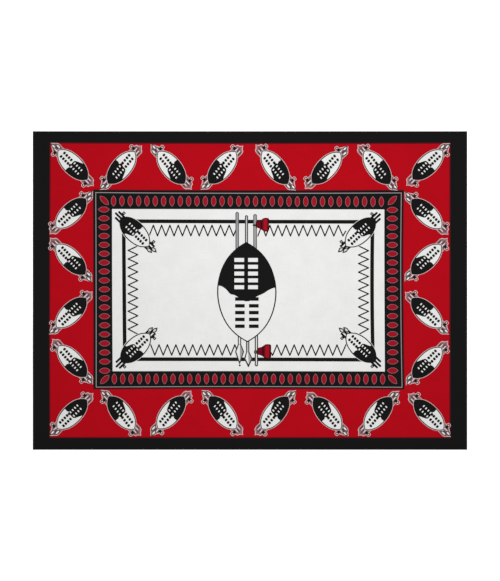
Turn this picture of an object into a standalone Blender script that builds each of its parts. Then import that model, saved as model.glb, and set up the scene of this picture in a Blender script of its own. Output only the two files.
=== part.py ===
"""Kanga cloth: one rectangle of printed cotton, lying flat and face up.

The cloth is cut from a wide roll. Its two long sides are the woven selvedges, and its two
short sides are cut, rolled over twice and machine-stitched into narrow hems. It rests flat
on the surface, apart from a few low places where loose cotton stands a little off it.

Units are metres. X runs along the long side, Y along the short side and Z up. The origin is
the middle of the cloth, on the surface that it rests on.
"""
import math
from collections import namedtuple

import bmesh
import bpy

for old in list(bpy.data.objects):
    bpy.data.objects.remove(old, do_unlink=True)

# Driving dimensions
CLOTH_LENGTH = 1.500    # hem to hem
CLOTH_WIDTH = 1.100     # selvedge to selvedge
SHEET_THICKNESS = 0.001
HEM_WIDTH = 0.008
HEM_THICKNESS = 0.0021  # three layers of the cloth, pressed by the seam
HEM_ROUNDING = 0.0015   # how far the hem takes to rise, at its fold and at its seam
GRID_STEP = 0.030       # spacing of the points on the sheet

CLOTH_RED = (0.445, 0.005, 0.012, 1.0)
CLOTH_ROUGHNESS = 0.9

# The low places where the cloth stands off the surface, each a long soft swelling.
# x and y are its middle, turn is the direction that it runs in, in degrees from the X axis,
# length and width are its full size, and height is how far the cloth is lifted there.
Lift = namedtuple("Lift", "x y turn length width height")
LIFTS = (
    Lift(x=-0.560, y=0.300, turn=38, length=0.620, width=0.230, height=0.0026),
    Lift(x=-0.130, y=0.420, turn=-12, length=0.560, width=0.200, height=0.0020),
    Lift(x=0.430, y=0.330, turn=-34, length=0.640, width=0.240, height=0.0028),
    Lift(x=0.660, y=-0.120, turn=78, length=0.540, width=0.220, height=0.0022),
    Lift(x=0.240, y=-0.300, turn=24, length=0.660, width=0.230, height=0.0024),
    Lift(x=-0.330, y=-0.380, turn=-20, length=0.560, width=0.210, height=0.0027),
    Lift(x=-0.700, y=-0.200, turn=84, length=0.460, width=0.200, height=0.0020),
)


def swelling(lift, x, y):
    """How far one lift raises the cloth at a point: a cosine hill that ends at its own edge."""
    turn = math.radians(lift.turn)
    along = (x - lift.x) * math.cos(turn) + (y - lift.y) * math.sin(turn)
    across = (y - lift.y) * math.cos(turn) - (x - lift.x) * math.sin(turn)
    reach = math.hypot(2 * along / lift.length, 2 * across / lift.width)
    if reach >= 1:
        return 0.0
    return lift.height * (0.5 + 0.5 * math.cos(math.pi * reach))


def underside(x, y):
    """The height of the cloth's back, which is zero wherever it touches the surface."""
    return max(swelling(lift, x, y) for lift in LIFTS)


def thickness(x):
    """The sheet's own thickness, rising to the hem's near each short side."""
    inward = CLOTH_LENGTH / 2 - abs(x)
    if inward >= HEM_WIDTH:
        return SHEET_THICKNESS
    rise = min(inward, HEM_WIDTH - inward) / HEM_ROUNDING
    return SHEET_THICKNESS + (HEM_THICKNESS - SHEET_THICKNESS) * min(rise, 1.0)


def evenly(low, high, step):
    """Places from low to high, as near to the step apart as divides the stretch evenly."""
    count = max(1, round((high - low) / step))
    return [low + (high - low) * i / count for i in range(count + 1)]


def columns():
    """The grid's places along X: the hem's own lines at each end, and even steps between."""
    hem_lines = (0.0, HEM_ROUNDING, HEM_WIDTH - HEM_ROUNDING, HEM_WIDTH)
    half = CLOTH_LENGTH / 2
    left = [-half + line for line in hem_lines]
    right = [half - line for line in reversed(hem_lines)]
    return left + evenly(left[-1], right[0], GRID_STEP)[1:-1] + right


def build_sheet():
    """The cloth as one closed sheet: its face, its back and the edge that joins them."""
    xs = columns()
    ys = evenly(-CLOTH_WIDTH / 2, CLOTH_WIDTH / 2, GRID_STEP)
    sheet = bmesh.new()
    back = [[sheet.verts.new((x, y, underside(x, y))) for y in ys] for x in xs]
    face = [[sheet.verts.new((x, y, underside(x, y) + thickness(x))) for y in ys] for x in xs]
    for i in range(len(xs) - 1):
        for j in range(len(ys) - 1):
            sheet.faces.new((face[i][j], face[i + 1][j], face[i + 1][j + 1], face[i][j + 1]))
            sheet.faces.new((back[i][j], back[i][j + 1], back[i + 1][j + 1], back[i + 1][j]))
    for i in range(len(xs) - 1):
        for j, turned in ((0, False), (len(ys) - 1, True)):
            edge = (back[i][j], back[i + 1][j], face[i + 1][j], face[i][j])
            sheet.faces.new(reversed(edge) if turned else edge)
    for j in range(len(ys) - 1):
        for i, turned in ((0, True), (len(xs) - 1, False)):
            edge = (back[i][j], back[i][j + 1], face[i][j + 1], face[i][j])
            sheet.faces.new(reversed(edge) if turned else edge)
    bmesh.ops.triangulate(sheet, faces=sheet.faces)
    return sheet


def printed_cotton():
    """The cloth's material, in the red of its widest ground."""
    material = bpy.data.materials.new("printed_cotton")
    material.use_nodes = True
    shader = material.node_tree.nodes["Principled BSDF"]
    shader.inputs["Base Color"].default_value = CLOTH_RED
    shader.inputs["Roughness"].default_value = CLOTH_ROUGHNESS
    shader.inputs["Metallic"].default_value = 0.0
    return material


cloth_mesh = bpy.data.meshes.new("kanga_cloth")
cloth_form = build_sheet()
cloth_form.to_mesh(cloth_mesh)
cloth_form.free()
cloth_mesh.materials.append(printed_cotton())
cloth_mesh.shade_smooth()
cloth_mesh.set_sharp_from_angle(angle=math.radians(30))
cloth = bpy.data.objects.new("kanga_cloth", cloth_mesh)
bpy.context.scene.collection.objects.link(cloth)
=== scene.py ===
"""Kanga cloth: the looks of one printed cotton cloth that lies flat and face up.

Lengths along the cloth are in millimetres, as a printer would give them, and are turned to
metres where a mesh is made. X runs along the long side, Y towards the print's top, Z up.
"""
import math
import random
from collections import namedtuple

import bmesh
import bpy
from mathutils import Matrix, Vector
from mathutils.geometry import delaunay_2d_cdt


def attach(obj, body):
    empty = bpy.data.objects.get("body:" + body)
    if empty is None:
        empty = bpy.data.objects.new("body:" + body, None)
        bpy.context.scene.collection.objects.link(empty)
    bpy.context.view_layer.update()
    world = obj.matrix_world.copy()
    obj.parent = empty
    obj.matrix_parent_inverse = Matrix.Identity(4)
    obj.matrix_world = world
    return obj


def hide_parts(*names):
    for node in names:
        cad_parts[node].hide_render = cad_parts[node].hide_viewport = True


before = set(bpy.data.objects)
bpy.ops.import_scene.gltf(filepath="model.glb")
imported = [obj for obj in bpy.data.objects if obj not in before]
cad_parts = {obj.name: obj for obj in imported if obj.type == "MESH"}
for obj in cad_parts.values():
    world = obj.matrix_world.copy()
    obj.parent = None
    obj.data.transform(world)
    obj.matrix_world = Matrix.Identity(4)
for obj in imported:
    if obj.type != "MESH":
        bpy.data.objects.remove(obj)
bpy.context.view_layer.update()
METRES_PER_MM = 0.001


# The photo's view: straight down on the middle of the cloth. The frame is 500 by 581 pixels
# and shows 3.454 mm of the cloth in each, with its outline square, so the lens is a long one.
PHOTO_HEIGHT_PX = 581
CLOTH_MM_PER_PX = 3.4541
SENSOR_MM = 36
LENS_MM = 85


def add_object(name, data):
    """An object of its own in the scene, made from a mesh, a lamp's data or a camera's."""
    thing = bpy.data.objects.new(name, data)
    bpy.context.scene.collection.objects.link(thing)
    return thing


shown_height = PHOTO_HEIGHT_PX * CLOTH_MM_PER_PX * METRES_PER_MM
camera_data = bpy.data.cameras.new("photo_camera")
camera_data.sensor_width = SENSOR_MM
camera_data.lens = LENS_MM
camera = add_object("photo_camera", camera_data)
camera.location = (0, 0, shown_height * LENS_MM / SENSOR_MM)
bpy.context.scene.camera = camera


# A plain white paper floor under the cloth. It glows a little, like paper on a light table, so
# that it stays white to the frame's edge, as in the photo.
FLOOR_SIZE_M = 30.0
FLOOR_DROP_M = 0.0004   # how far the cloth lies over the paper, so that they never share a plane
PAPER_WHITE = "#FBFBFA"
PAPER_ROUGHNESS = 0.9
PAPER_GLOW = 0.42


def linear(code):
    """The linear colour of an sRGB hex code such as #B20F1D."""
    parts = [int(code[i:i + 2], 16) / 255 for i in (1, 3, 5)]
    return tuple(c / 12.92 if c <= 0.04045 else ((c + 0.055) / 1.055) ** 2.4 for c in parts) + (1.0,)


def add_node(tree, kind, sockets, **settings):
    """Adds one node: its settings, then its sockets, each a plain value or a link to an output."""
    node = tree.nodes.new(kind)
    for name, value in settings.items():
        setattr(node, name, value)
    for name, value in sockets.items():
        if isinstance(value, bpy.types.NodeSocket):
            tree.links.new(value, node.inputs[name])
        else:
            node.inputs[name].default_value = value
    return node


def empty_material(name):
    """A material with nothing in it but its output."""
    material = bpy.data.materials.new(name)
    material.use_nodes = True
    material.node_tree.nodes.clear()
    output = material.node_tree.nodes.new("ShaderNodeOutputMaterial")
    return material, material.node_tree, output


paper, paper_tree, paper_output = empty_material("white_paper")
paper_shader = add_node(paper_tree, "ShaderNodeBsdfPrincipled", {
    "Base Color": linear(PAPER_WHITE),
    "Roughness": PAPER_ROUGHNESS,
    "Emission Color": linear(PAPER_WHITE),
    "Emission Strength": PAPER_GLOW,
})
paper_tree.links.new(paper_shader.outputs[0], paper_output.inputs["Surface"])

floor_mesh = bpy.data.meshes.new("paper_floor")
half_floor = FLOOR_SIZE_M / 2
floor_corners = []
for x, y in ((-1, -1), (1, -1), (1, 1), (-1, 1)):
    floor_corners.append((x * half_floor, y * half_floor, -FLOOR_DROP_M))
floor_mesh.from_pydata(floor_corners, [], [(0, 1, 2, 3)])
floor_mesh.materials.append(paper)
floor = add_object("paper_floor", floor_mesh)


# Soft studio light: a white room all round, and one broad lamp hung over the cloth's upper
# right, so that the cloth falls off softly towards its left side and its lower corners.
ROOM_STRENGTH = 0.42
LAMP_PLACE_M = (0.12, 0.31, 2.1)
LAMP_SIZE_M = 1.0
LAMP_POWER_W = 30.1

room = bpy.data.worlds.new("white_room")
room.use_nodes = True
room_light = room.node_tree.nodes["Background"]
room_light.inputs["Color"].default_value = (1.0, 1.0, 1.0, 1.0)
room_light.inputs["Strength"].default_value = ROOM_STRENGTH
bpy.context.scene.world = room
bpy.context.scene.view_settings.view_transform = "Standard"

lamp_data = bpy.data.lights.new("soft_lamp", "AREA")
lamp_data.shape = "SQUARE"
lamp_data.size = LAMP_SIZE_M
lamp_data.energy = LAMP_POWER_W
lamp = add_object("soft_lamp", lamp_data)
lamp.location = LAMP_PLACE_M
lamp.visible_camera = False


# The print starts as a list of flat shapes in ink order, each laid over those before it, as a
# table printer lays one screen over another. The cloth is dyed black to its edges first. Each
# ink has its colour on the face, and the paler one that shows through on the back.
INKS = {
    "black": ("#151515", "#3B3A3B"),
    "red": ("#B20616", "#B93440"),
    "white": ("#E9E9E7", "#E6E5E2"),
    "ash": ("#9A9596", "#ADA9A9"),
    "crimson": ("#9C1225", "#A83B4B"),
    "pale": ("#D8C2C2", "#D3C0C0"),
    "dusk": ("#957A7D", "#A99799"),
    "soot": ("#4A3C3E", "#6E6466"),
    "stone": ("#C2C2C1", "#C9C9C7"),
    "staff": ("#A0A0A0", "#B2B2B1"),
    "shade": ("#5C5D5E", "#808181"),
    "charcoal": ("#333435", "#5C5C5C"),
    "wine": ("#6A0B19", "#873641"),
    "maroon": ("#3E0409", "#65292F"),
    "rose": ("#93686D", "#A4878B"),
}
Shape = namedtuple("Shape", "ink outline inside")
print_shapes = []
EDGE_STEP_MM = 25.0   # no straight edge is longer, so that every shape can follow the cloth's rise


def counterclockwise(outline):
    """The outline's points in counterclockwise order, which the triangulation needs."""
    following = outline[1:] + outline[:1]
    doubled_area = sum(a[0] * b[1] - b[0] * a[1] for a, b in zip(outline, following))
    return outline if doubled_area > 0 else outline[::-1]


def lay(ink, outline, inside=None):
    """Lays one shape of the print and gives its number. inside is the shape that limits it."""
    outline = counterclockwise(outline)
    points = []
    for i, start in enumerate(outline):
        end = outline[(i + 1) % len(outline)]
        steps = max(1, math.ceil(math.dist(start, end) / EDGE_STEP_MM))
        for k in range(steps):
            points.append((start[0] + (end[0] - start[0]) * k / steps,
                           start[1] + (end[1] - start[1]) * k / steps))
    print_shapes.append(Shape(ink, points, inside))
    return len(print_shapes) - 1


CLOTH_LENGTH_MM = 1500.0   # hem to hem
CLOTH_WIDTH_MM = 1100.0    # selvedge to selvedge


def rectangle(left, right, low, high):
    """An upright rectangle's outline."""
    return [(left, low), (right, low), (right, high), (left, high)]


HALF_LENGTH = CLOTH_LENGTH_MM / 2
HALF_WIDTH = CLOTH_WIDTH_MM / 2
lay("black", rectangle(-HALF_LENGTH, HALF_LENGTH, -HALF_WIDTH, HALF_WIDTH))


# The frames, from the outside in: the red field, the black band with its pale keyline, the
# white ground and a thick black line on that. Each side bows a little with the cloth's pull, so
# it is given at its start, middle and end, from the left or from the top.
Frame = namedtuple("Frame", "left right top bottom")
RED_FIELD = Frame((-691.4, -693.1, -692.5), (692.1, 691.8, 692.0),
                  (511.0, 509.2, 510.2), (-509.2, -509.4, -509.4))
BAND_OUTER = Frame((-540.5, -539.4, -539.2), (529.2, 527.5, 531.9),
                   (346.7, 344.3, 345.5), (-339.3, -337.3, -339.9))
KEYLINE = Frame((-532.5, -531.4, -531.2), (522.4, 520.7, 525.1),
                (338.1, 335.7, 336.9), (-333.6, -331.6, -334.2))
BAND_INNER = Frame((-476.4, -475.8, -474.3), (463.7, 464.3, 465.6),
                   (281.3, 280.7, 279.7), (-278.8, -278.3, -279.8))
THICK_LINE = Frame((-436.2, -434.5, -432.3), (423.5, 421.5, 424.8),
                   (239.5, 237.9, 237.0), (-237.2, -237.7, -239.2))
THICK_LINE_WIDTH = 12.8
KEYLINE_WIDTH = 2.6
FIELD_OVERPRINT = 3.6      # how far black runs thinly over the red, inside the field's edge
BAND_OVERPRINT = 2.4       # and outside the band's
SIDE_POINTS = 12


def between(start, end, share):
    """The value at a share of the way from one value to another."""
    return start + (end - start) * share


def bowed(through, share):
    """The value at a share of a side that passes through a start, a middle and an end."""
    start, middle, end = through
    return (start * (1 - share) * (1 - 2 * share) + middle * 4 * share * (1 - share)
            + end * share * (2 * share - 1))


def frame_outline(sides, inset=0.0):
    """A frame's outline, counterclockwise from its lower left corner, moved in by the inset."""
    shares = [i / SIDE_POINTS for i in range(SIDE_POINTS)]
    left = [bowed(sides.left, s) + inset for s in (0, 1)]
    right = [bowed(sides.right, s) - inset for s in (0, 1)]
    top = [bowed(sides.top, s) - inset for s in (0, 1)]
    bottom = [bowed(sides.bottom, s) + inset for s in (0, 1)]
    outline = [(between(left[1], right[1], s), bowed(sides.bottom, s) + inset) for s in shares]
    outline += [(bowed(sides.right, 1 - s) - inset, between(bottom[1], top[1], s)) for s in shares]
    outline += [(between(right[0], left[0], s), bowed(sides.top, 1 - s) - inset) for s in shares]
    outline += [(bowed(sides.left, s) + inset, between(top[0], bottom[0], s)) for s in shares]
    return outline


lay("wine", frame_outline(RED_FIELD))
lay("red", frame_outline(RED_FIELD, FIELD_OVERPRINT))
lay("wine", frame_outline(BAND_OUTER, -BAND_OVERPRINT))
lay("black", frame_outline(BAND_OUTER))
lay("ash", frame_outline(KEYLINE, -KEYLINE_WIDTH / 2))
lay("black", frame_outline(KEYLINE, KEYLINE_WIDTH / 2))
lay("white", frame_outline(BAND_INNER))
lay("black", frame_outline(THICK_LINE, -THICK_LINE_WIDTH / 2))
lay("white", frame_outline(THICK_LINE, THICK_LINE_WIDTH / 2))


# The pods in the band: red pointed ovals with a fine pale edge, side by side across it, and one
# aslant in each corner. The pale edge is the cloth's own ground, left open between two inks.
POD_EDGE = 1.0
POD_TIP_EDGE = 1.5     # the same edge along the pod's length, where its tip slants
POD_POINTS = 8         # along each side
POD_FULLNESS = 2.5     # 2 gives plain arcs, and more gives fuller sides
ROW_POD = (38.0, 17.8)     # length and width
COLUMN_POD = (39.6, 20.2)
CORNER_POD = (43.5, 19.0)
CORNER_PODS = ((-503.0, 311.0), (491.4, 311.0), (492.5, -307.0), (-501.4, -307.0))
CORNER_TURNS = (135, 45, -45, -135)
# A run's x and y are each given, like a frame's side, at its first, middle and last pod.
PodRun = namedtuple("PodRun", "x y pods turn size")
POD_RUNS = (
    PodRun((-471.0, -9.9, 453.5), (308.9, 307.9, 306.3), 33, 90, ROW_POD),
    PodRun((-468.4, -5.5, 458.2), (-305.2, -305.2, -306.2), 33, 90, ROW_POD),
    PodRun((-504.4, -502.9, -501.6), (279.6, 4.0, -276.9), 19, 0, COLUMN_POD),
    PodRun((491.2, 491.9, 492.7), (278.3, 4.4, -276.4), 19, 0, COLUMN_POD),
)


def turned(points, turn, x, y):
    """Points turned by an angle in degrees and then moved to a place."""
    cosine = math.cos(math.radians(turn))
    sine = math.sin(math.radians(turn))
    return [(x + u * cosine - v * sine, y + u * sine + v * cosine) for u, v in points]


def pod_outline(length, width):
    """A pointed oval along X, with full sides."""
    shares = [-1 + i / POD_POINTS for i in range(2 * POD_POINTS)]
    lower = [(s * length / 2, -(1 - abs(s) ** POD_FULLNESS) * width / 2) for s in shares]
    return lower + [(-x, -y) for x, y in lower]


def pod(x, y, turn, length, width):
    """One pod: its pale edge, and the red laid inside that."""
    edge = pod_outline(length, width)
    core = pod_outline(length - 2 * POD_TIP_EDGE, width - 2 * POD_EDGE)
    lay("dusk", turned(edge, turn, x, y))
    lay("crimson", turned(core, turn, x, y))


for run in POD_RUNS:
    for i in range(run.pods):
        share = i / (run.pods - 1)
        pod(bowed(run.x, share), bowed(run.y, share), run.turn, *run.size)
for (x, y), turn in zip(CORNER_PODS, CORNER_TURNS):
    pod(x, y, turn, *CORNER_POD)


# The zigzags, one fine black line inside each side of the thick frame. Each run starts at a
# shield or a staff, turns at corners on two lines (odd and even), and ends at the next shield.
# along gives the first, middle and last corner's places, and turns the number of corners.
ZIGZAG_LINE = 4.4
BAR_CUT = 0.6      # of half a bar's width, how far each corner of its ends is cut along it
BAR_BLUNT = 0.4    # of half a bar's width, how far the end stays square on each side
Zigzag = namedtuple("Zigzag", "upright start along turns odd even end")
ZIGZAGS = (
    Zigzag(False, (-348.2, 188.6), (-333.7, -189.8, -42.2), 21, 225.3, 188.7, None),
    Zigzag(False, None, (27.2, 168.8, 320.8), 21, 188.3, 224.9, (330.2, 204.5)),
    Zigzag(False, (-343.4, -186.3), (-328.8, -183.3, -37.9), 21, -223.4, -187.4, None),
    Zigzag(False, (71.4, -212.9), (78.2, 197.0, 315.1), 17, -223.9, -187.9, (332.7, -184.4)),
    Zigzag(True, (-388.8, 153.2), (138.4, 4.1, -133.1), 19, -420.9, -387.7, (-385.3, -152.1)),
    Zigzag(True, (372.6, 154.9), (137.4, 3.5, -133.1), 19, 409.2, 374.7, (375.4, -151.7)),
)


def bar(start, end, width, overrun=0.0):
    """A straight bar with blunt rounded ends, which run past its two points by the overrun."""
    length = math.dist(start, end)
    half = width / 2
    cut = half * BAR_CUT
    blunt = half * BAR_BLUNT
    back = -overrun
    front = length + overrun
    outline = [(back + cut, -half), (front - cut, -half), (front, -blunt), (front, blunt),
               (front - cut, half), (back + cut, half), (back, blunt), (back, -blunt)]
    turn = math.degrees(math.atan2(end[1] - start[1], end[0] - start[0]))
    return turned(outline, turn, *start)


for run in ZIGZAGS:
    corners = []
    for i in range(run.turns):
        along = bowed(run.along, i / (run.turns - 1))
        across = run.even if i % 2 else run.odd
        corners.append((across, along) if run.upright else (along, across))
    route = [p for p in (run.start, *corners, run.end) if p]
    for start, end in zip(route, route[1:]):
        lay("black", bar(start, end, ZIGZAG_LINE, overrun=ZIGZAG_LINE / 2))


# The shields, oxhide ones with two rows of lacing, drawn over a bundle of sticks and spears: 24
# on the red field and 4 on the white ground. The heading runs from the white end to the black
# end, in degrees from the X axis. The side is where the tassels are, seen along the heading.
# Shapes are given in a shield's own frame: v along the heading, u away from the tassels.
Shield = namedtuple("Shield", "x y heading side spears")
ROW_SHIELDS = (
    Shield(-443.6, 424.6, 230.1, "right", "black end"),
    Shield(-271.5, 424.9, -50.8, "left", "white end"),
    Shield(-95.3, 424.8, 229.6, "right", "black end"),
    Shield(86.6, 425.3, -52.4, "left", "black end"),
    Shield(264.1, 423.1, 227.5, "right", "white end"),
    Shield(438.7, 425.1, -52.4, "left", "black end"),
    Shield(-443.8, -423.0, 127.8, "left", "black end"),
    Shield(-272.7, -421.9, 50.7, "right", "white end"),
    Shield(-93.8, -422.1, 129.2, "left", "black end"),
    Shield(85.9, -422.9, 50.9, "right", "black end"),
    Shield(267.2, -424.8, 130.2, "left", "white end"),
    Shield(442.9, -424.7, 50.8, "right", "black end"),
)
SIDE_SHIELDS = (
    Shield(-612.1, 434.2, -45.3, "right", "white end"),
    Shield(613.8, 434.3, 224.2, "left", "white end"),
    Shield(-614.8, -427.3, 44.6, "left", "white end"),
    Shield(618.4, -429.6, 134.6, "right", "white end"),
    Shield(-617.9, 267.0, 44.1, "left", "black end"),
    Shield(-619.0, 107.5, -45.7, "right", "black end"),
    Shield(-617.4, -76.5, 44.6, "left", "white end"),
    Shield(-613.7, -244.1, -47.8, "right", "black end"),
    Shield(610.1, 265.0, 136.2, "right", "black end"),
    Shield(609.2, 107.8, 224.6, "left", "black end"),
    Shield(609.8, -77.3, 135.8, "right", "white end"),
    Shield(612.1, -249.2, 225.9, "left", "black end"),
)
CORNER_SHIELDS = (
    Shield(-397.8, 202.1, 135.0, "right", "white end"),
    Shield(381.2, 200.5, 43.3, "left", "white end"),
    Shield(-395.0, -198.7, 224.6, "left", "white end"),
    Shield(383.2, -197.7, -44.0, "right", "white end"),
)
BODY_ROUNDNESS = 0.4
BODY_DARK_LINE = 3.2
BODY_PALE_LINE = 1.7      # round the dark line: cloth left bare between two inks
GROUND_LINE = 3.8         # the dark line of the shields on the white ground
SHIELD_POINTS = 20        # along each side
LACE_SIZES = {"white": (8.2, 4.8), "black": (10.8, 8.8)}   # black ink spreads into the white
LACE_SQUARENESS = 0.7     # 1 gives an ellipse, and less gives fuller corners
LACE_FULLNESS = 0.48      # of the size, from the middle
LACE_COLUMN = 8.2         # from the lacing's middle line
LACES_IN_COLUMN = 4
LACE_POINTS = 12          # round each lace
HIDE_REACH = (60, 90)     # where the black hide's outline closes, well past the body

# How a shield is drawn in the three places: its half length and width, its first white lace
# and first black one, their pitch, how far the lacing lies off the middle, how the rows and
# laces slope, how far the bundle of sticks lies off the middle and leans, and where black hide
# meets white, from the tassel side to the other, with both ends off the body.
Drawing = namedtuple(
    "Drawing",
    "half_length half_width white black pitch column row_slope lace_slope bundle lean hide_edge")
IN_A_ROW = Drawing(69.5, 31.7, 1.9, -13.5, 11.5, 1.1, 9, 9, -1.5, 3.2, (
    (-44, -8), (-33, -8), (-21, -8.6), (-17, -6.4), (-14.5, -3.5), (-11.5, -9), (-10, -12),
    (-4, -12), (-2, -7), (5, -5.6), (11, -5.6), (16, -2.4), (19.7, 4), (22.2, 12.6),
    (24.7, 21.2), (28.4, 28.6), (38, 46)))
AT_A_SIDE = Drawing(69.3, 30.8, 1.0, -15.3, 11.15, -0.2, 0, 0, -0.8, 0.2, (
    (-44, -4), (-33, -4), (-20, -5.4), (-16, -3), (-13.5, -1.5), (-12.5, -6), (-11, -11),
    (-5, -11), (-3, -5.4), (4, -6.4), (10, -6.4), (14.8, -4.7), (19.7, 4), (23.4, 12.6),
    (28.4, 22.5), (38, 40)))
ON_THE_WHITE = Drawing(66.8, 32.2, -0.2, -14.6, 10.95, 0.3, 0, -6, 0, -0.5, (
    (-44, -6.4), (-33, -6.4), (-21, -7.2), (-17, -4.5), (-14.5, -3), (-12.5, -8), (-11, -11),
    (-5, -11), (-2, -5.4), (7.4, -6.9), (12.8, -6.4), (17.3, -2.2), (21, 5.9), (23.4, 12.6),
    (26, 18.3), (33, 21), (42, 24)))


def onto_cloth(shield, points):
    """Points of a shield's own frame, on the cloth."""
    mirrored = 1 if shield.side == "right" else -1
    return turned([(v, mirrored * u) for u, v in points], shield.heading, shield.x, shield.y)


def smoothed(line):
    """An open line with its corners cut off, as a knife rounds them in a stencil."""
    cut = [line[0]]
    for (x0, y0), (x1, y1) in zip(line, line[1:]):
        for near, far in ((0.75, 0.25), (0.25, 0.75)):
            cut.append((near * x0 + far * x1, near * y0 + far * y1))
    return cut + [line[-1]]


def shield_outline(half_width, half_length, roundness=BODY_ROUNDNESS, steps=SHIELD_POINTS):
    """A pointed oval along v, with full sides and blunt tips."""
    shares = [math.sin(math.pi * (i / steps - 0.5)) for i in range(steps)]
    one_side = [(half_width * (1 - (1 - roundness) * s ** 2 - roundness * s ** 6), s * half_length)
                for s in shares]
    return one_side + [(-u, -v) for u, v in one_side]


def lace_outline(u, v, slope, size):
    """One lace: a short oval with straightened sides, its long way across the shield."""
    def squared(value):
        return LACE_FULLNESS * math.copysign(abs(value) ** LACE_SQUARENESS, value)

    oval = []
    for i in range(LACE_POINTS):
        angle = math.radians((i + 0.5) * 360 / LACE_POINTS)
        oval.append((size[0] * squared(math.cos(angle)), size[1] * squared(math.sin(angle))))
    return turned(oval, slope, u, v)


def body_and_lacing(shield, drawing, rings):
    """The body's rings, its white hide, the black hide over part of it, and both rows of laces."""
    for ink, line in rings + (("white", 0.0),):
        outline = shield_outline(drawing.half_width + line, drawing.half_length + line)
        body = lay(ink, onto_cloth(shield, outline))
    reach_u, reach_v = HIDE_REACH
    hide = smoothed(drawing.hide_edge) + [(reach_u, reach_v), (-reach_u, reach_v)]
    lay("black", onto_cloth(shield, hide), inside=body)
    rise = math.tan(math.radians(drawing.row_slope)) * LACE_COLUMN
    for ink, first, step in (("white", drawing.white, drawing.pitch),
                             ("black", drawing.black, -drawing.pitch)):
        for i in range(LACES_IN_COLUMN):
            for side in (-1, 1):
                u = drawing.column + side * LACE_COLUMN
                v = first + step * i + side * rise
                lace = lace_outline(u, v, drawing.lace_slope, LACE_SIZES[ink])
                lay(ink, onto_cloth(shield, lace))


# The bundle stands out past both ends of its shield: three sticks' butts at one, and sticks and
# two spear blades at the other, with a tassel tied at each. On the red field they lie over a
# fan-shaped patch of dull rose with a thin pale rim. u is a stick's place across from the
# bundle's middle line, and reach how far it stands from the shield's middle.
Stick = namedtuple("Stick", "u reach")
Blade = namedtuple("Blade", "u shoulder widest tip half_width")
Bundle = namedtuple(
    "Bundle",
    "butts shafts blades width blade_line rib ink tassel_by_butts tassel_by_spears tassel_ink")
ON_THE_RED = Bundle(
    butts=(Stick(-11.0, 83), Stick(0, 89), Stick(11.5, 81)),
    shafts=(Stick(-11.0, 80), Stick(1.8, 86), Stick(11.5, 74)),
    blades=(Blade(-1.6, 82, 92.5, 106, 6.8), Blade(9.8, 69, 81, 95, 6.8)),
    width=3.6, blade_line=3.5, rib=0.0, ink="soot",
    tassel_by_butts=(-22.2, 76.5), tassel_by_spears=(-22.0, 73.0), tassel_ink="pale")
ON_WHITE_GROUND = Bundle(
    butts=(Stick(-11.0, 89), Stick(0, 94), Stick(11.5, 83)),
    shafts=(Stick(-11.0, 84), Stick(0.8, 86), Stick(12.0, 74)),
    blades=(Blade(-2.2, 79, 90, 104, 7.6), Blade(9.8, 68, 80, 94, 7.6)),
    width=7.4, blade_line=4.1, rib=1.6, ink="black",
    tassel_by_butts=(-20.0, 72.4), tassel_by_spears=(-21.4, 70.0), tassel_ink="staff")
BUTTS_FAN = ((-20, 48), (17.5, 48), (18, 83), (15, 90), (9.5, 93), (5, 98), (1, 104), (-3, 98),
             (-8, 94), (-14, 93), (-17, 86), (-20, 72))
SPEARS_FAN = ((-20, 48), (17.5, 48), (18.5, 84), (15.5, 91), (9, 97), (3.5, 103), (0, 107),
              (-4, 102), (-9, 95), (-11, 90), (-16, 83), (-20, 70))
FAN_RIM = 1.4
FAN_END_RIM = 1.96         # the same rim along the bundle, where the fan's end slants
FAN_LIGHTS = (Stick(-5.2, 84), Stick(6.2, 82))   # the cloth left open between the sticks
FAN_LIGHT_WIDTH = 2.6
STICK_START = 48           # hidden by the body
STICK_ROUNDING = 1         # how far a stick's end stands out in its middle
BLADE_BASE = 0.45          # of a blade's half width, at its shoulder
BLADE_BASE_LEAST = 0.8
BLADE_TAPER = 0.62         # of its half width, halfway from its widest place to its tip
BLADE_TIP_LINE = 1.6       # times the line's width, at the slanting tip
TASSEL_SIZES = (("pale", 15.6), ("wine", 11.8))
TASSEL_CORE = 4.8
KNOT_SIZE = 9.4
GROUND_TASSEL = 10.0
KNOT_GAP = 8.0             # from the tassel's middle to the knot's


def stick_outline(stick, width):
    """A stick that points away from the shield, with a blunt end."""
    left = stick.u - width / 2
    right = stick.u + width / 2
    return [(left, STICK_START), (right, STICK_START), (right, stick.reach),
            (stick.u, stick.reach + STICK_ROUNDING), (left, stick.reach)]


def blade_outline(blade, inset=0.0):
    """A leaf-shaped spear blade that points away from the shield, smaller by an inset all round."""
    half = blade.half_width - inset
    base = max(BLADE_BASE_LEAST, half * BLADE_BASE)
    taper = half * BLADE_TAPER
    shoulder = blade.shoulder + inset
    halfway = (blade.widest + blade.tip) / 2 - inset
    return [(blade.u - base, shoulder), (blade.u + base, shoulder), (blade.u + half, blade.widest),
            (blade.u + taper, halfway), (blade.u, blade.tip - BLADE_TIP_LINE * inset),
            (blade.u - taper, halfway), (blade.u - half, blade.widest)]


def square_outline(u, v, size):
    """A square round a place."""
    half = size / 2
    return rectangle(u - half, u + half, v - half, v + half)


def within(fan, side_rim, end_rim):
    """A fan's outline drawn in by its rim, but not where it starts under the body."""
    inner = []
    for u, v in fan:
        inner_v = v - end_rim if v > STICK_START else v
        inner.append((u - math.copysign(min(side_rim, abs(u)), u), inner_v))
    return inner


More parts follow.
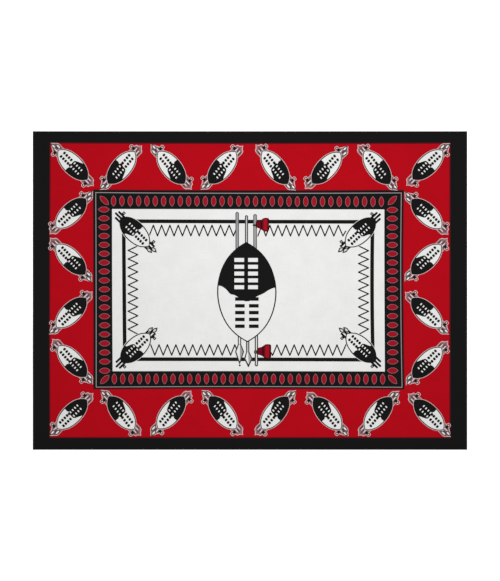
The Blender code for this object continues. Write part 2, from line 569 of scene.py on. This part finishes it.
def bundle_end(shield, drawing, bundle, end):
    """One end of a bundle, -1 at the shield's white end and 1 at its black end."""
    def put(ink, points):
        facing = [(u, end * v) for u, v in points]
        lay(ink, onto_cloth(shield, turned(facing, drawing.lean, drawing.bundle, 0)))

    pointed = (shield.spears == "white end") == (end < 0)
    sticks = bundle.shafts if pointed else bundle.butts
    blades = bundle.blades if pointed else ()
    tassel_u, tassel_v = bundle.tassel_by_spears if pointed else bundle.tassel_by_butts
    if bundle is ON_THE_RED:
        fan = SPEARS_FAN if pointed else BUTTS_FAN
        put("pale", fan)
        put("rose", within(fan, FAN_RIM, FAN_END_RIM))
        for ink, size in TASSEL_SIZES:
            put(ink, lace_outline(tassel_u, tassel_v, 0, (size, size)))
        for light in FAN_LIGHTS:
            put("white", stick_outline(light, FAN_LIGHT_WIDTH))
    else:
        put(bundle.ink, square_outline(tassel_u, tassel_v, GROUND_TASSEL))
    for stick in sticks:
        put(bundle.ink, stick_outline(stick, bundle.width))
    for blade in blades:
        put(bundle.ink, blade_outline(blade))
    put(bundle.tassel_ink, square_outline(tassel_u, tassel_v, TASSEL_CORE))
    put("black", square_outline(tassel_u + KNOT_GAP, tassel_v, KNOT_SIZE))
    for blade in blades:
        put("white", blade_outline(blade, bundle.blade_line))
        if bundle.rib:
            half = bundle.rib / 2
            put("shade", [(blade.u - half, blade.shoulder), (blade.u + half, blade.shoulder),
                          (blade.u, blade.tip)])


FIELD_RINGS = (("pale", BODY_DARK_LINE + BODY_PALE_LINE), ("black", BODY_DARK_LINE))
GROUND_RINGS = (("black", GROUND_LINE),)
GROUND_GAP = 1.4          # of white round the corner shields, where they cross the thick line
for shield in CORNER_SHIELDS:
    line = GROUND_LINE + GROUND_GAP
    gap = shield_outline(ON_THE_WHITE.half_width + line, ON_THE_WHITE.half_length + line)
    lay("white", onto_cloth(shield, gap))
for shields, drawing, bundle, rings in (
        (ROW_SHIELDS, IN_A_ROW, ON_THE_RED, FIELD_RINGS),
        (SIDE_SHIELDS, AT_A_SIDE, ON_THE_RED, FIELD_RINGS),
        (CORNER_SHIELDS, ON_THE_WHITE, ON_WHITE_GROUND, GROUND_RINGS)):
    for shield in shields:
        for end in (-1, 1):
            bundle_end(shield, drawing, bundle, end)
        body_and_lacing(shield, drawing, rings)


# The great shield in the middle, over two sticks, two spears and a staff with red tassels.
GREAT_X = -11.1
GREAT_Y = -5.5
GREAT_LEAN = 0.7           # degrees, its top to the left
GREAT_HALF_LENGTH = 171.0
GREAT_HALF_WIDTH = 100.5
GREAT_ROUNDNESS = 0.3
GREAT_LINE = 4.4
GREAT_POINTS = 32
GREAT_HIDE_EDGE = ((-130, 21), (-109.8, 17.7), (-95.6, 13.9), (-80.1, 2.5), (-68.7, -13.1),
                   (-53.2, -15.2), (-39.7, -24.0), (-10.0, -42.0), (20.0, -22.0), (49.0, -9.3),
                   (62.4, 0.4), (77.6, 8.0), (89.3, 10.1), (130, 12))
GREAT_HIDE_REACH = (130, 240)   # where the black hide's outline closes, well past the body
GREAT_LACES = 5
GREAT_LACE_PITCH = 23.5
Column = namedtuple("Column", "ink left right top height")   # top is its first lace's middle
GREAT_COLUMNS = (
    Column("white", -53.9, -20.4, 105.5, 13.6),
    Column("white", -6.5, 27.2, 105.5, 13.6),
    Column("black", -51.5, -18.2, -29.4, 12.2),
    Column("black", -3.5, 30.0, -29.4, 12.2),
)


def great_outline(line):
    """The great shield's outline, wider by half a line or narrower."""
    outline = shield_outline(GREAT_HALF_WIDTH + line, GREAT_HALF_LENGTH + line,
                             GREAT_ROUNDNESS, GREAT_POINTS)
    return turned(outline, GREAT_LEAN, GREAT_X, GREAT_Y)


def upright_stick(left, right, low, high, line, fill, line_width):
    """An upright stick with rounded ends, as a fill inside its outline."""
    middle = (left + right) / 2
    inner_width = right - left - 2 * line_width
    lay(line, bar((middle, low), (middle, high), right - left))
    lay(fill, bar((middle, low + line_width), (middle, high - line_width), inner_width))


HIDDEN_START = 120         # sticks and shafts start this far up or down, under the great body
SHAFT_WIDTH = 11.6
SHAFT_CORE = (-2.2, 2.1)   # left open between its two dark lines
SHAFT_INTO_BLADE = 4
BLADE_SHOULDER_HALF = 5.8
BLADE_TIP_HALF = 1.2
BLADE_TIP_DEPTH = 10       # of solid dark at the tip
BLADE_SIDE_LINES = (4.6, 4.2)
# Where the blade's light half and its shaded one start: how far to the right of the shaft's
# middle, and below the shoulder.
LIGHT_START = ((-2.2, 1), (1.6, 1))
SHADED_START = ((1.4, 3), (2.4, 1))
SHADED_TIP_HALF = 1.0


def spear(shaft_x, blade_x, shoulder, widest, tip, half_width, shaft_ink, shade_ink):
    """A spear that points down: its shaft, and a blade whose right half lies in shade."""
    def from_shoulder(*places):
        return [(shaft_x + across, shoulder - down) for across, down in places]

    left = blade_x - half_width
    right = blade_x + half_width
    inner_tip = tip + BLADE_TIP_DEPTH
    shaft_end = shoulder - SHAFT_INTO_BLADE
    lay("charcoal", bar((shaft_x, -HIDDEN_START), (shaft_x, shaft_end), SHAFT_WIDTH))
    lay(shaft_ink, rectangle(shaft_x + SHAFT_CORE[0], shaft_x + SHAFT_CORE[1],
                             shoulder - SHAFT_INTO_BLADE / 2, -HIDDEN_START))
    lay("charcoal", from_shoulder((-BLADE_SHOULDER_HALF, 0), (BLADE_SHOULDER_HALF, 0)) + [
        (right, widest), (blade_x + BLADE_TIP_HALF, tip),
        (blade_x - BLADE_TIP_HALF, tip), (left, widest)])
    lay("white", from_shoulder(*LIGHT_START) + [
        (blade_x + BLADE_TIP_HALF, inner_tip), (blade_x, inner_tip),
        (left + BLADE_SIDE_LINES[0], widest)])
    lay(shade_ink, from_shoulder(*SHADED_START) + [
        (right - BLADE_SIDE_LINES[1], widest), (blade_x + SHADED_TIP_HALF, inner_tip)])


KNOT_ROUNDNESS = 0.5
KNOT_POINTS = 4            # along each side


def round_knot(ink, x, y, half_width, half_height):
    """A small round thing: a knot on a stick, or the bead at a spear's tip."""
    lay(ink, turned(shield_outline(half_width, half_height, KNOT_ROUNDNESS, KNOT_POINTS), 0, x, y))


# A tassel's outline, from its neck out along the bell and back: how far along, and across. Its
# bands run from a start to an end along it.
TASSEL_OUTLINE = ((0, -8), (2.3, -11), (14.4, -13.6), (20, -17.4), (25.5, -21.4), (31.1, -22.8),
                  (41.3, -22.2), (44.2, -19.5), (44.8, -10), (43.9, 3), (44.9, 14), (43.6, 20.4),
                  (40, 22.8), (31.1, 23.2), (25.5, 21.2), (20, 17.4), (14.4, 13.6), (7, 11.1),
                  (2.3, 9.6), (0, 8))
TASSEL_FILL = 0.86         # of its width, inside a dark rim
TASSEL_BANDS = (("wine", 3.2, 16.0), ("wine", 21.6, 26.3), ("crimson", 26.3, 39.0),
                ("red", 30.5, 34.2))
BAND_REACH = 40            # to each side of its middle, well past the rim that cuts it


def tassel(x, y, scale):
    """A red tassel to the right of its staff: a dark neck, a darker fold and a bright bell."""
    for fill in (1.0, TASSEL_FILL):
        inner = lay("maroon", [(x + along * scale, y - across * fill * scale)
                               for along, across in TASSEL_OUTLINE])
    for ink, start, end in TASSEL_BANDS:
        band = rectangle(x + start * scale, x + end * scale, y - BAND_REACH, y + BAND_REACH)
        lay(ink, band, inside=inner)


# Above the body: two sticks and the staff, whose tassel is tied on with a flat binding.
upright_stick(left=-50.3, right=-38.1, low=HIDDEN_START, high=271.4,
              line="shade", fill="staff", line_width=3.5)
upright_stick(left=-17.6, right=-6.6, low=HIDDEN_START, high=260.0,
              line="charcoal", fill="stone", line_width=3.6)
upright_stick(left=11.2, right=24.0, low=HIDDEN_START, high=264.0,
              line="shade", fill="staff", line_width=3.2)
lay("charcoal", rectangle(left=9.4, right=22.0, low=222.0, high=228.6))
tassel(x=19.6, y=227.4, scale=1.04)

# Below it: the two spears, the first with a bead at its tip, and the staff's other end.
spear(shaft_x=-36.2, blade_x=-36.0, shoulder=-186.0, widest=-211.5, tip=-254.0, half_width=15.8,
      shaft_ink="white", shade_ink="staff")
round_knot("charcoal", x=-35.4, y=-258.6, half_width=3.6, half_height=3.6)
spear(shaft_x=-7.9, blade_x=-5.6, shoulder=-212.0, widest=-235.5, tip=-264.5, half_width=14.6,
      shaft_ink="stone", shade_ink="staff")
upright_stick(left=16.4, right=27.9, low=-262.0, high=-HIDDEN_START,
              line="charcoal", fill="white", line_width=4.1)
round_knot("charcoal", x=19.4, y=-212.4, half_width=6.2, half_height=7.6)
round_knot("shade", x=19.4, y=-212.4, half_width=3.0, half_height=4.0)
tassel(x=24.0, y=-210.2, scale=1.1)

lay("black", great_outline(GREAT_LINE / 2))
great_body = lay("white", great_outline(-GREAT_LINE / 2))
hide_x, hide_y = GREAT_HIDE_REACH
lay("black", smoothed(GREAT_HIDE_EDGE) + [(hide_x, hide_y), (-hide_x, hide_y)], inside=great_body)
for column in GREAT_COLUMNS:
    for i in range(GREAT_LACES):
        middle = column.top - GREAT_LACE_PITCH * i
        half = column.height / 2
        lay(column.ink, rectangle(column.left, column.right, middle - half, middle + half))


# The cloth itself: one sheet of plain-weave cotton, 1.5 by 1.1 m, cut from a wide roll. Its
# long sides are the woven selvedges, and its short sides are rolled twice into narrow hems. It
# lies flat but for a few low places, the solid's own, where loose cotton stands off the floor.
SHEET_THICKNESS_MM = 1.0
HEM_WIDTH_MM = 8.0
HEM_THICKNESS_MM = 2.1
HEM_ROUNDING_MM = 1.5
HEM_LINES_MM = (0.4, 0.8, HEM_ROUNDING_MM)   # lines of its soft rise, from its fold and its seam
EDGE_ROUNDING_MM = 0.4     # how far the face and the back stop short of the sheet's edge
GRID_STEP_MM = 25.0
MERGE_WITHIN_MM = 1e-4     # points of the plan closer than this become one
RIM_WITHIN_MM = 0.01       # points this close to the cloth's outline lie on it
Lift = namedtuple("Lift", "x y turn length width height")
LIFTS = (
    Lift(x=-560, y=300, turn=38, length=620, width=230, height=2.6),
    Lift(x=-130, y=420, turn=-12, length=560, width=200, height=2.0),
    Lift(x=430, y=330, turn=-34, length=640, width=240, height=2.8),
    Lift(x=660, y=-120, turn=78, length=540, width=220, height=2.2),
    Lift(x=240, y=-300, turn=24, length=660, width=230, height=2.4),
    Lift(x=-330, y=-380, turn=-20, length=560, width=210, height=2.7),
    Lift(x=-700, y=-200, turn=84, length=460, width=200, height=2.0),
)


def swelling(lift, x, y):
    """How far one lift raises the cloth at a point: a cosine hill that ends at its own edge."""
    turn = math.radians(lift.turn)
    along = (x - lift.x) * math.cos(turn) + (y - lift.y) * math.sin(turn)
    across = (y - lift.y) * math.cos(turn) - (x - lift.x) * math.sin(turn)
    reach = math.hypot(2 * along / lift.length, 2 * across / lift.width)
    if reach >= 1:
        return 0.0
    return lift.height * (0.5 + 0.5 * math.cos(math.pi * reach))


def underside(x, y):
    """The height of the cloth's back, which is zero wherever it touches the floor."""
    return max(swelling(lift, x, y) for lift in LIFTS)


def thickness(x):
    """The sheet's own thickness, swelling softly to the hem's near each short side."""
    inward = HALF_LENGTH - abs(x)
    if inward >= HEM_WIDTH_MM:
        return SHEET_THICKNESS_MM
    rise = min(inward, HEM_WIDTH_MM - inward) / HEM_ROUNDING_MM
    softened = math.sin(math.pi / 2 * min(rise, 1.0))
    return SHEET_THICKNESS_MM + (HEM_THICKNESS_MM - SHEET_THICKNESS_MM) * softened


def evenly(low, high, step):
    """Places from low to high, as near to the step apart as divides the stretch evenly."""
    count = max(1, round((high - low) / step))
    return [low + (high - low) * i / count for i in range(count + 1)]


def sheet_plan():
    """The cloth seen from above: points, triangles, and the ink that shows on each triangle."""
    points = []
    faces = []
    for shape in print_shapes:
        first = len(points)
        points += [Vector(p) for p in shape.outline]
        faces.append(list(range(first, len(points))))
    edges = []
    rows = evenly(-HALF_WIDTH, HALF_WIDTH, GRID_STEP_MM)
    seam_lines = tuple(HEM_WIDTH_MM - line for line in reversed(HEM_LINES_MM))
    for line in HEM_LINES_MM + seam_lines + (HEM_WIDTH_MM,):
        for x in (line - HALF_LENGTH, HALF_LENGTH - line):
            first = len(points)
            points += [Vector((x, y)) for y in rows]
            edges += [(first + i, first + i + 1) for i in range(len(rows) - 1)]
    for x in evenly(HEM_WIDTH_MM - HALF_LENGTH, HALF_LENGTH - HEM_WIDTH_MM, GRID_STEP_MM)[1:-1]:
        points += [Vector((x, y)) for y in rows]
    plan_points, _, triangles, _, _, owners = delaunay_2d_cdt(
        points, edges, faces, 0, MERGE_WITHIN_MM, True)
    inks = []
    for covering in owners:
        held = set(covering)
        showing = [n for n in covering
                   if print_shapes[n].inside is None or print_shapes[n].inside in held]
        inks.append(print_shapes[max(showing, default=0)].ink)
    return [(p.x, p.y) for p in plan_points], [tuple(t) for t in triangles], inks


plan_points, plan_triangles, plan_inks = sheet_plan()


def on_short_side(x):
    """Whether a place along X is that of a short side."""
    return HALF_LENGTH - abs(x) < RIM_WITHIN_MM


def on_long_side(y):
    """Whether a place along Y is that of a long side."""
    return HALF_WIDTH - abs(y) < RIM_WITHIN_MM


def on_rim(point):
    """Whether a point of the plan lies on the cloth's outline."""
    return on_short_side(point[0]) or on_long_side(point[1])


def drawn_in(point):
    """A point of the outline, moved in so that the sheet's edge can turn over in a round."""
    limit_x = HALF_LENGTH - EDGE_ROUNDING_MM
    limit_y = HALF_WIDTH - EDGE_ROUNDING_MM
    return max(-limit_x, min(limit_x, point[0])), max(-limit_y, min(limit_y, point[1]))


# The cloth's mesh has a face and a back on the same plan, and a rounded rim between them.
# Its map lays the face over the upper part of the square, with the rim folded out round it,
# and the back, squeezed to a strip, below.
MAP_MARGIN_MM = 3.0
BACK_STRIP = (0.004, 0.258)
RIM_FOLD_MM = 1.2

cloth_form = bmesh.new()
map_layer = cloth_form.loops.layers.uv.new("OFBake")
map_span = CLOTH_LENGTH_MM + 2 * MAP_MARGIN_MM


def face_place(x, y):
    """Where a point of the face lies on the map."""
    across = (x + HALF_LENGTH + MAP_MARGIN_MM) / map_span
    return across, 1 - (HALF_WIDTH + MAP_MARGIN_MM - y) / map_span


def back_place(x, y):
    """Where a point of the back lies on the map."""
    low, high = BACK_STRIP
    across = (x + HALF_LENGTH + MAP_MARGIN_MM) / map_span
    return across, low + (high - low) * (y + HALF_WIDTH) / CLOTH_WIDTH_MM


def vertex_at(x, y, height):
    """A new vertex of the cloth, at a place in millimetres."""
    return cloth_form.verts.new((x * METRES_PER_MM, y * METRES_PER_MM, height * METRES_PER_MM))


ink_slots = {ink: slot for slot, ink in enumerate(INKS)}
face_vertices = []
back_vertices = []
for x, y in plan_points:
    inner_x, inner_y = drawn_in((x, y)) if on_rim((x, y)) else (x, y)
    lift = underside(x, y)
    face_vertices.append(vertex_at(inner_x, inner_y, lift + thickness(x)))
    back_vertices.append(vertex_at(inner_x, inner_y, lift))


def add_face(vertices, places, slot):
    """One face of the cloth, with its places on the map and its ink's slot."""
    face = cloth_form.faces.new(vertices)
    face.material_index = slot
    face.smooth = True
    for loop, place in zip(face.loops, places):
        loop[map_layer].uv = place


for triangle, ink in zip(plan_triangles, plan_inks):
    corners = [plan_points[i] for i in triangle]
    slot = ink_slots[ink]
    add_face([face_vertices[i] for i in triangle], [face_place(*c) for c in corners], slot)
    turned_over = tuple(reversed(triangle))
    add_face([back_vertices[i] for i in turned_over],
             [back_place(*plan_points[i]) for i in turned_over], len(INKS) + slot)



def round_the_cloth(i):
    """Where a point of the plan comes on a way round the cloth."""
    x, y = plan_points[i]
    return math.atan2(y / HALF_WIDTH, x / HALF_LENGTH)


rim = sorted((i for i, p in enumerate(plan_points) if on_rim(p)), key=round_the_cloth)
rim_vertices = {}
for i in rim:
    x, y = plan_points[i]
    rim_vertices[i] = vertex_at(x, y, underside(x, y) + thickness(x) / 2)


def folded_out(x, y, rows):
    """A rim point's place on the map, so many rows outside the face."""
    out_x = math.copysign(RIM_FOLD_MM * rows, x) if on_short_side(x) else 0.0
    out_y = math.copysign(RIM_FOLD_MM * rows, y) if on_long_side(y) else 0.0
    return face_place(x + out_x, y + out_y)


for i, j in zip(rim, rim[1:] + rim[:1]):
    upper = (face_vertices[j], face_vertices[i], rim_vertices[i], rim_vertices[j])
    lower = (rim_vertices[j], rim_vertices[i], back_vertices[i], back_vertices[j])
    for vertices, rows in ((upper, 0), (lower, 1)):
        places = [folded_out(*plan_points[n], rows + step)
                  for n, step in ((j, 0), (i, 0), (i, 1), (j, 1))]
        add_face(vertices, places, ink_slots["black"])

cloth_mesh = bpy.data.meshes.new("kanga_sheet")
cloth_form.to_mesh(cloth_mesh)
cloth_form.free()
cloth = add_object("kanga_sheet", cloth_mesh)
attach(cloth, "root")
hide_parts("kanga_cloth")


# The hem seams: one row of machine stitches along each hem, close to its inner fold, in black
# cotton thread. The upper thread shows on the face and the lower one on the back, each stitch
# sinking into the cloth at both its needle holes.
STITCH_PITCH_MM = 2.75
STITCH_GAP_MM = 0.35       # between two stitches, where the thread goes through the cloth
STITCH_THREAD_MM = 0.42    # the thread's width, pressed a little flat
STITCH_HEIGHT_MM = 0.30
STITCH_SINK_MM = 0.16      # how far the ends go below the cloth's surface
STITCH_LIFT = 0.1          # of its height, how far its middle line lies over the surface
SEAM_INWARD_MM = 6.0       # from the cut side's fold to the seam
SEAM_END_MM = 2.5          # from the selvedge to the first stitch
STITCH_RINGS = ((-0.5, 0.45, -1.0), (-0.36, 0.85, -0.2), (-0.15, 1.0, 0.1), (0.15, 1.0, 0.1),
                (0.36, 0.85, -0.2), (0.5, 0.45, -1.0))   # along, thickness, and rise or sink
STITCH_SIDES = 6
STITCH_STRAY_MM = 0.06     # how far a needle hole strays from the seam's line
STRAY_SEED = 7


def stitch(form, x, y, surface, outward):
    """One stitch along Y, on the face (outward 1) or the back (outward -1) of the hem."""
    rings = []
    length = STITCH_PITCH_MM - STITCH_GAP_MM
    for along, swell, rise in STITCH_RINGS:
        middle = surface + outward * (rise * STITCH_SINK_MM + STITCH_LIFT * STITCH_HEIGHT_MM)
        ring = []
        for k in range(STITCH_SIDES):
            angle = 2 * math.pi * k / STITCH_SIDES
            place = (x + swell * STITCH_THREAD_MM / 2 * math.cos(angle), y + along * length,
                     middle + swell * STITCH_HEIGHT_MM / 2 * math.sin(angle))
            ring.append(form.verts.new([c * METRES_PER_MM for c in place]))
        rings.append(ring)
    for ring, following in zip(rings, rings[1:]):
        for k in range(STITCH_SIDES):
            after = (k + 1) % STITCH_SIDES
            form.faces.new((ring[after], ring[k], following[k], following[after])).smooth = True
    form.faces.new(rings[0])
    form.faces.new(reversed(rings[-1]))


stitch_form = bmesh.new()
seam_half = HALF_WIDTH - SEAM_END_MM
stitch_count = round(2 * seam_half / STITCH_PITCH_MM)
stray = random.Random(STRAY_SEED)
for side in (-1, 1):
    for i in range(stitch_count):
        y = -seam_half + (i + 0.5) * 2 * seam_half / stitch_count
        x = side * (HALF_LENGTH - SEAM_INWARD_MM) + stray.uniform(-STITCH_STRAY_MM, STITCH_STRAY_MM)
        stitch(stitch_form, x, y, underside(x, y) + thickness(x), 1)
        stitch(stitch_form, x, y, underside(x, y), -1)
stitch_mesh = bpy.data.meshes.new("hem_stitches")
stitch_form.to_mesh(stitch_mesh)
stitch_form.free()
stitches = add_object("hem_stitches", stitch_mesh)
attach(stitches, "root")


# Printed cotton: a matt plain weave in bleached yarn, screen-printed. Its colour carries painted
# shade and light of the weave: a little darker where a thread dips under, and lighter on the
# raised threads. The eye gets a soft, dry surface with fine streaks along both yarns where a
# thread runs thick or thin. The back shows the print through, paler and cloudier, because the
# dye doesn't sink through evenly.
THREAD_SPACING_MM = 1.0     # really 0.4 mm, drawn coarser so that a close view shows it
SLUB_LENGTH_MM = 45.0       # how long a thick stretch of yarn is
SLUB_WIDTH_MM = 1.0
SLUB_DETAIL = 2.0
SLUB_RANGE = (0.7, 1.3)     # of both yarns' noise added up
MOTTLE_SIZE_MM = 70.0       # cloudiness of the dye
MOTTLE_DETAIL = 3.0
NOISE_ROUGHNESS = 0.6
WEAVE_DEPTH_MM = 0.22
WEAVE_STRENGTH = 0.8
CREST_SHARE = 0.5           # how much the crossing threads stand up, against the slubs
PAINTED_WEAVE_SHADE = 0.15         # painted shade: how much darker the colour is painted where a thread dips under, and lighter where it crosses over, against the slubs
DYE_AND_WEAVE_SHADE_RANGE = (1.1, 1.9)      # of the slubs, the weave's painted shade and the dye's cloudiness added up
FACE_UNEVENNESS = 0.06      # how far an ink's colour strays, as a share
BACK_UNEVENNESS = 0.12
COTTON_ROUGHNESS = (0.84, 0.96)
COTTON_SPECULAR = 0.06      # the loose ends of fibres scatter most of the gloss
COTTON_SHEEN = 0.03
RADIANS_PER_SCALE = 20      # of a wave texture in each unit of length, and half that aslant


def shaded(colour, amount):
    """A colour made darker by a share, or lighter where the share is negative."""
    return tuple(min(1.0, c * (1 - amount)) for c in colour[:3]) + (1.0,)


def printed_cotton(name, code, unevenness):
    """One ink on the cloth. unevenness is how far its colour strays, as a share."""
    material, tree, output = empty_material(name)
    spot = add_node(tree, "ShaderNodeTexCoord", {}).outputs["Object"]

    def stretched_noise(width_mm, height_mm, detail):
        """Noise with patches of about this size."""
        sizes = (1 / (width_mm * METRES_PER_MM), 1 / (height_mm * METRES_PER_MM), 1.0)
        fitted = add_node(tree, "ShaderNodeMapping", {"Vector": spot, "Scale": sizes})
        return add_node(tree, "ShaderNodeTexNoise", {
            "Vector": fitted.outputs[0], "Scale": 1.0, "Detail": detail,
            "Roughness": NOISE_ROUGHNESS}).outputs[0]

    def combined(operation, first, second):
        """Two values added or multiplied, the second an output or a plain number."""
        return add_node(tree, "ShaderNodeMath", {0: first, 1: second}, operation=operation).outputs[0]

    def ranged(value, old_range, new_range):
        """A value moved from one range to another."""
        return add_node(tree, "ShaderNodeMapRange", {
            "Value": value, "From Min": old_range[0], "From Max": old_range[1],
            "To Min": new_range[0], "To Max": new_range[1]}).outputs[0]

    def over_and_under(direction):
        """A wave from -1 to 1 that is as long as two threads are wide."""
        scale = math.pi / (RADIANS_PER_SCALE * THREAD_SPACING_MM * METRES_PER_MM)
        bands = add_node(tree, "ShaderNodeTexWave", {"Vector": spot, "Scale": scale},
                         bands_direction=direction)
        return ranged(bands.outputs["Fac"], (0.0, 1.0), (-1.0, 1.0))

    crossing = combined("MULTIPLY", over_and_under("X"), over_and_under("Y"))
    slub = combined("ADD", stretched_noise(SLUB_LENGTH_MM, SLUB_WIDTH_MM, SLUB_DETAIL),
                    stretched_noise(SLUB_WIDTH_MM, SLUB_LENGTH_MM, SLUB_DETAIL))
    mottle = stretched_noise(MOTTLE_SIZE_MM, MOTTLE_SIZE_MM, MOTTLE_DETAIL)
    # The crossing paints the colour lighter on the raised threads and darker between them: painted
    # light and shade of the weave.
    slub_and_weave_shade = combined("ADD", slub, combined("MULTIPLY", crossing, PAINTED_WEAVE_SHADE))
    dye_and_weave_shade = ranged(combined("ADD", slub_and_weave_shade, mottle), DYE_AND_WEAVE_SHADE_RANGE, (0.0, 1.0))
    ink = linear(code)
    colour = add_node(tree, "ShaderNodeMix", {
        0: dye_and_weave_shade, 6: shaded(ink, unevenness), 7: shaded(ink, -unevenness)}, data_type="RGBA")
    bump = add_node(tree, "ShaderNodeBump", {
        "Height": combined("ADD", combined("MULTIPLY", crossing, CREST_SHARE), slub),
        "Strength": WEAVE_STRENGTH,
        "Distance": WEAVE_DEPTH_MM * METRES_PER_MM,
    })
    shader = add_node(tree, "ShaderNodeBsdfPrincipled", {
        "Base Color": colour.outputs[2],
        "Roughness": ranged(slub, SLUB_RANGE, COTTON_ROUGHNESS),
        "Specular IOR Level": COTTON_SPECULAR,
        "Sheen Weight": COTTON_SHEEN,
        "Normal": bump.outputs[0],
    })
    tree.links.new(shader.outputs[0], output.inputs["Surface"])
    return material


for side, (name, unevenness) in enumerate((("cotton", FACE_UNEVENNESS),
                                           ("cotton_back", BACK_UNEVENNESS))):
    for ink, codes in INKS.items():
        cloth_mesh.materials.append(printed_cotton(f"{name}_{ink}", codes[side], unevenness))


# Black sewing thread: two plies of cotton twisted hard and waxed, so that the eye gets a fine
# slanting twist and a little more gloss than the cloth round it. Its colour is painted lighter
# where the plies stand up along the twist, a painted highlight.
THREAD_BLACK = "#121213"
# painted highlight: the colour of each ply's raised crest
THREAD_CREST_HIGHLIGHT = "#262527"
THREAD_TWIST_MM = 0.5       # from one ply to the next along the thread
THREAD_WOBBLE = 0.6
THREAD_ROUGHNESS = 0.55
THREAD_SPECULAR = 0.3
PLY_DEPTH_MM = 0.05
PLY_STRENGTH = 0.7

thread, thread_tree, thread_output = empty_material("sewing_thread")
thread_spot = add_node(thread_tree, "ShaderNodeTexCoord", {}).outputs["Object"]
twist_scale = math.pi / (RADIANS_PER_SCALE / 2 * THREAD_TWIST_MM * METRES_PER_MM)
twist = add_node(thread_tree, "ShaderNodeTexWave", {
    "Vector": thread_spot, "Scale": twist_scale, "Distortion": THREAD_WOBBLE,
}, bands_direction="DIAGONAL")
# lighter where the twist's bump stands up: a painted highlight on the plies
thread_colour = add_node(thread_tree, "ShaderNodeMix", {
    0: twist.outputs["Fac"], 6: linear(THREAD_BLACK), 7: linear(THREAD_CREST_HIGHLIGHT)}, data_type="RGBA")
thread_bump = add_node(thread_tree, "ShaderNodeBump", {
    "Height": twist.outputs["Fac"], "Strength": PLY_STRENGTH,
    "Distance": PLY_DEPTH_MM * METRES_PER_MM})
thread_shader = add_node(thread_tree, "ShaderNodeBsdfPrincipled", {
    "Base Color": thread_colour.outputs[2],
    "Roughness": THREAD_ROUGHNESS,
    "Specular IOR Level": THREAD_SPECULAR,
    "Normal": thread_bump.outputs[0],
})
thread_tree.links.new(thread_shader.outputs[0], thread_output.inputs["Surface"])
stitch_mesh.materials.append(thread)
